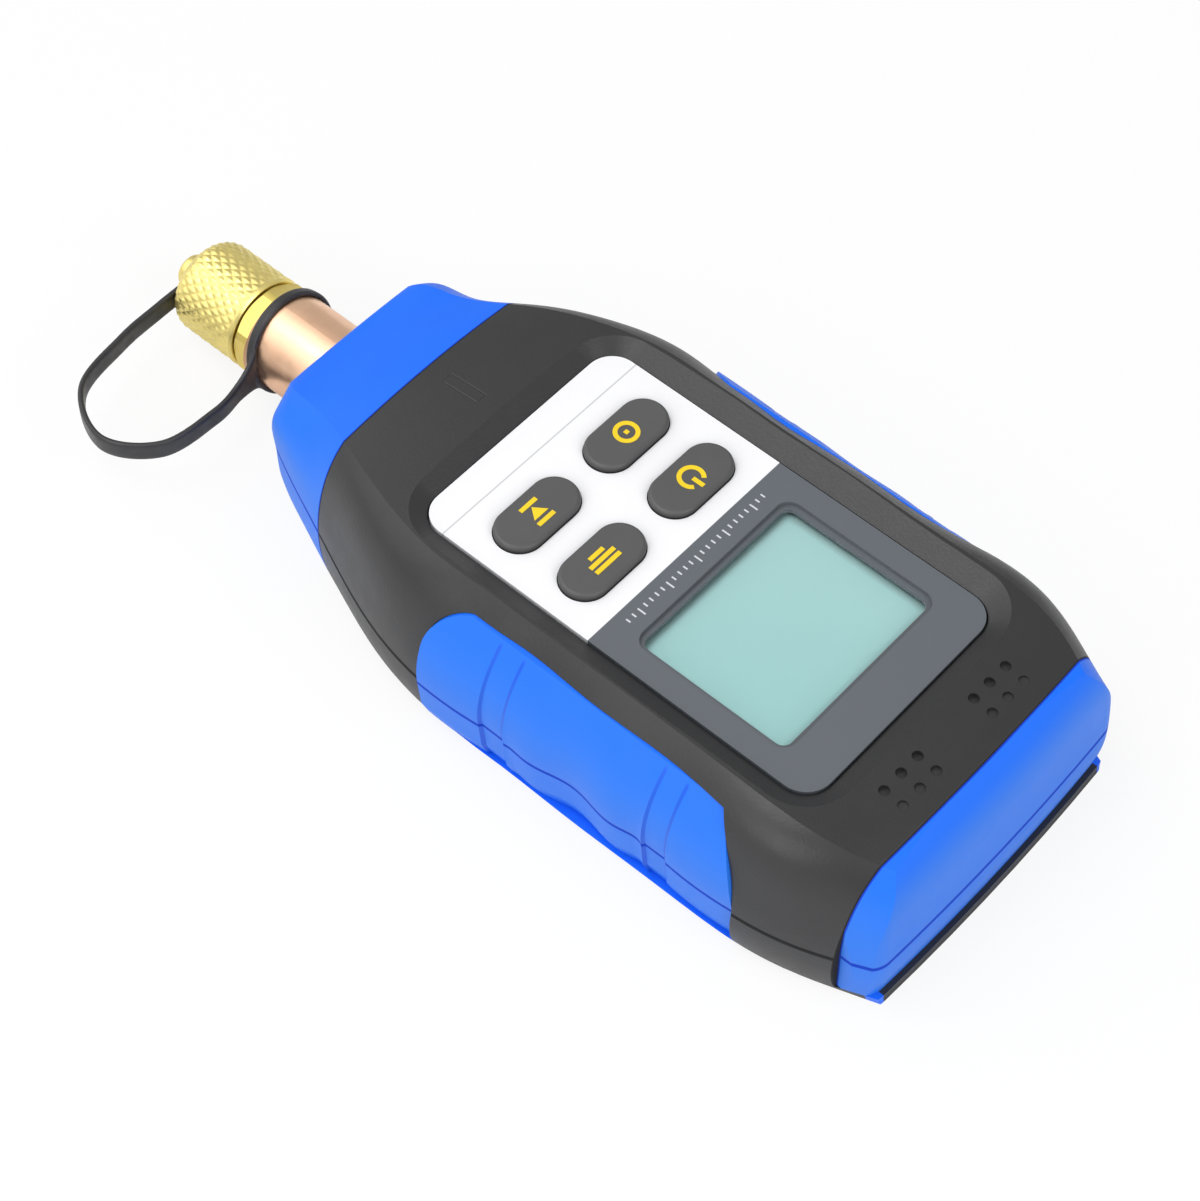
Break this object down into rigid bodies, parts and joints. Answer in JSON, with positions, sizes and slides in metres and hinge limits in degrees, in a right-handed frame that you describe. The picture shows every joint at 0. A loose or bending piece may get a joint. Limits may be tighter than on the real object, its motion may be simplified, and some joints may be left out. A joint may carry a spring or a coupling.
{
  "type": "digital vacuum gauge",
  "caption": "Handheld vacuum gauge with a sunken display, obround keys, blue side grips and a capped flare port on a copper tube.",
  "frame": {"origin": "on the flat back, on the centre line, halfway along the housing", "axes": "+Z out of the display, -Y out of the vacuum port, +X to the right as the display is read"},
  "size_m": [0.0702, 0.1666, 0.0297],
  "materials": {
    "black_shell": "fine satin moulded texture",
    "blue_cover": "smooth satin soft moulding",
    "label_plate": "satin print, white and grey fields",
    "clear_window": "clear",
    "display_glass": "reflective display, switched off",
    "holder_plastic": "moulded",
    "elastomer": "matt",
    "strap_rubber": "semi-matt",
    "key_plastic": "satin with yellow marks",
    "switch_plastic": "moulded",
    "board": "solder mask",
    "cell_jacket": "printed film",
    "plated_steel": "nickel plated",
    "sensor_ceramic": "sintered",
    "copper": "drawn copper, bright",
    "brass_plain": "turned",
    "brass_knurled": "knurled"
  },
  "bodies": {
    "housing": {"back_shell": "black_shell", "battery_1": "cell_jacket", "battery_2": "cell_jacket", "battery_3": "cell_jacket", "battery_contacts": "plated_steel", "battery_door": "black_shell", "battery_door_screw": "plated_steel", "cap_strap": "strap_rubber", "case_screws": "plated_steel", "copper_tube": "copper", "display_connectors": "elastomer", "display_holder": "holder_plastic", "display_panel": "display_glass", "display_window": "clear_window", "faceplate": "label_plate", "front_shell": "black_shell", "grip_left_back": "blue_cover", "grip_left_front": "blue_cover", "grip_right_back": "blue_cover", "grip_right_front": "blue_cover", "key_switches": "switch_plastic", "keypad_mat": "elastomer", "main_board": "board", "nose_bumper": "blue_cover", "port_fitting": "brass_plain", "sensor_element": "sensor_ceramic", "sensor_header": "plated_steel", "tail_bumper_back": "blue_cover", "tail_bumper_front": "blue_cover", "tube_seal": "elastomer"},
    "key_set": {"button_set": "key_plastic"},
    "key_save": {"button_save": "key_plastic"},
    "key_power": {"button_power": "key_plastic"},
    "key_unit": {"button_unit": "key_plastic"},
    "cap_washer": {"cap_seal": "elastomer"},
    "cap": {"port_cap": "brass_knurled"}
  },
  "joints": [
    {"name": "key_set_press", "type": "slide", "parent": "housing", "child": "key_set", "axis": [0, 0, -1], "range_m": [0, 0.0008], "stiffness_N_per_m": 1200, "deforming": ["keypad_mat"]},
    {"name": "key_save_press", "type": "slide", "parent": "housing", "child": "key_save", "axis": [0, 0, -1], "range_m": [0, 0.0008], "stiffness_N_per_m": 1200, "deforming": ["keypad_mat"]},
    {"name": "key_power_press", "type": "slide", "parent": "housing", "child": "key_power", "axis": [0, 0, -1], "range_m": [0, 0.0008], "stiffness_N_per_m": 1200, "deforming": ["keypad_mat"]},
    {"name": "key_unit_press", "type": "slide", "parent": "housing", "child": "key_unit", "axis": [0, 0, -1], "range_m": [0, 0.0008], "stiffness_N_per_m": 1200, "deforming": ["keypad_mat"]},
    {"name": "cap_slide", "type": "slide", "parent": "housing", "child": "cap_washer", "axis": [0, -1, 0], "range_m": [0, 0.01016], "deforming": ["cap_strap"]},
    {"name": "cap_turn", "type": "hinge", "parent": "cap_washer", "child": "cap", "pos_m": [0, -0.09, 0.009], "axis": [0, -1, 0], "range_deg": [0, 2880]}
  ],
  "couplings": [
    {"joint": "cap_turn", "follows": "cap_slide", "rad_per_m": 4947.4}
  ]
}
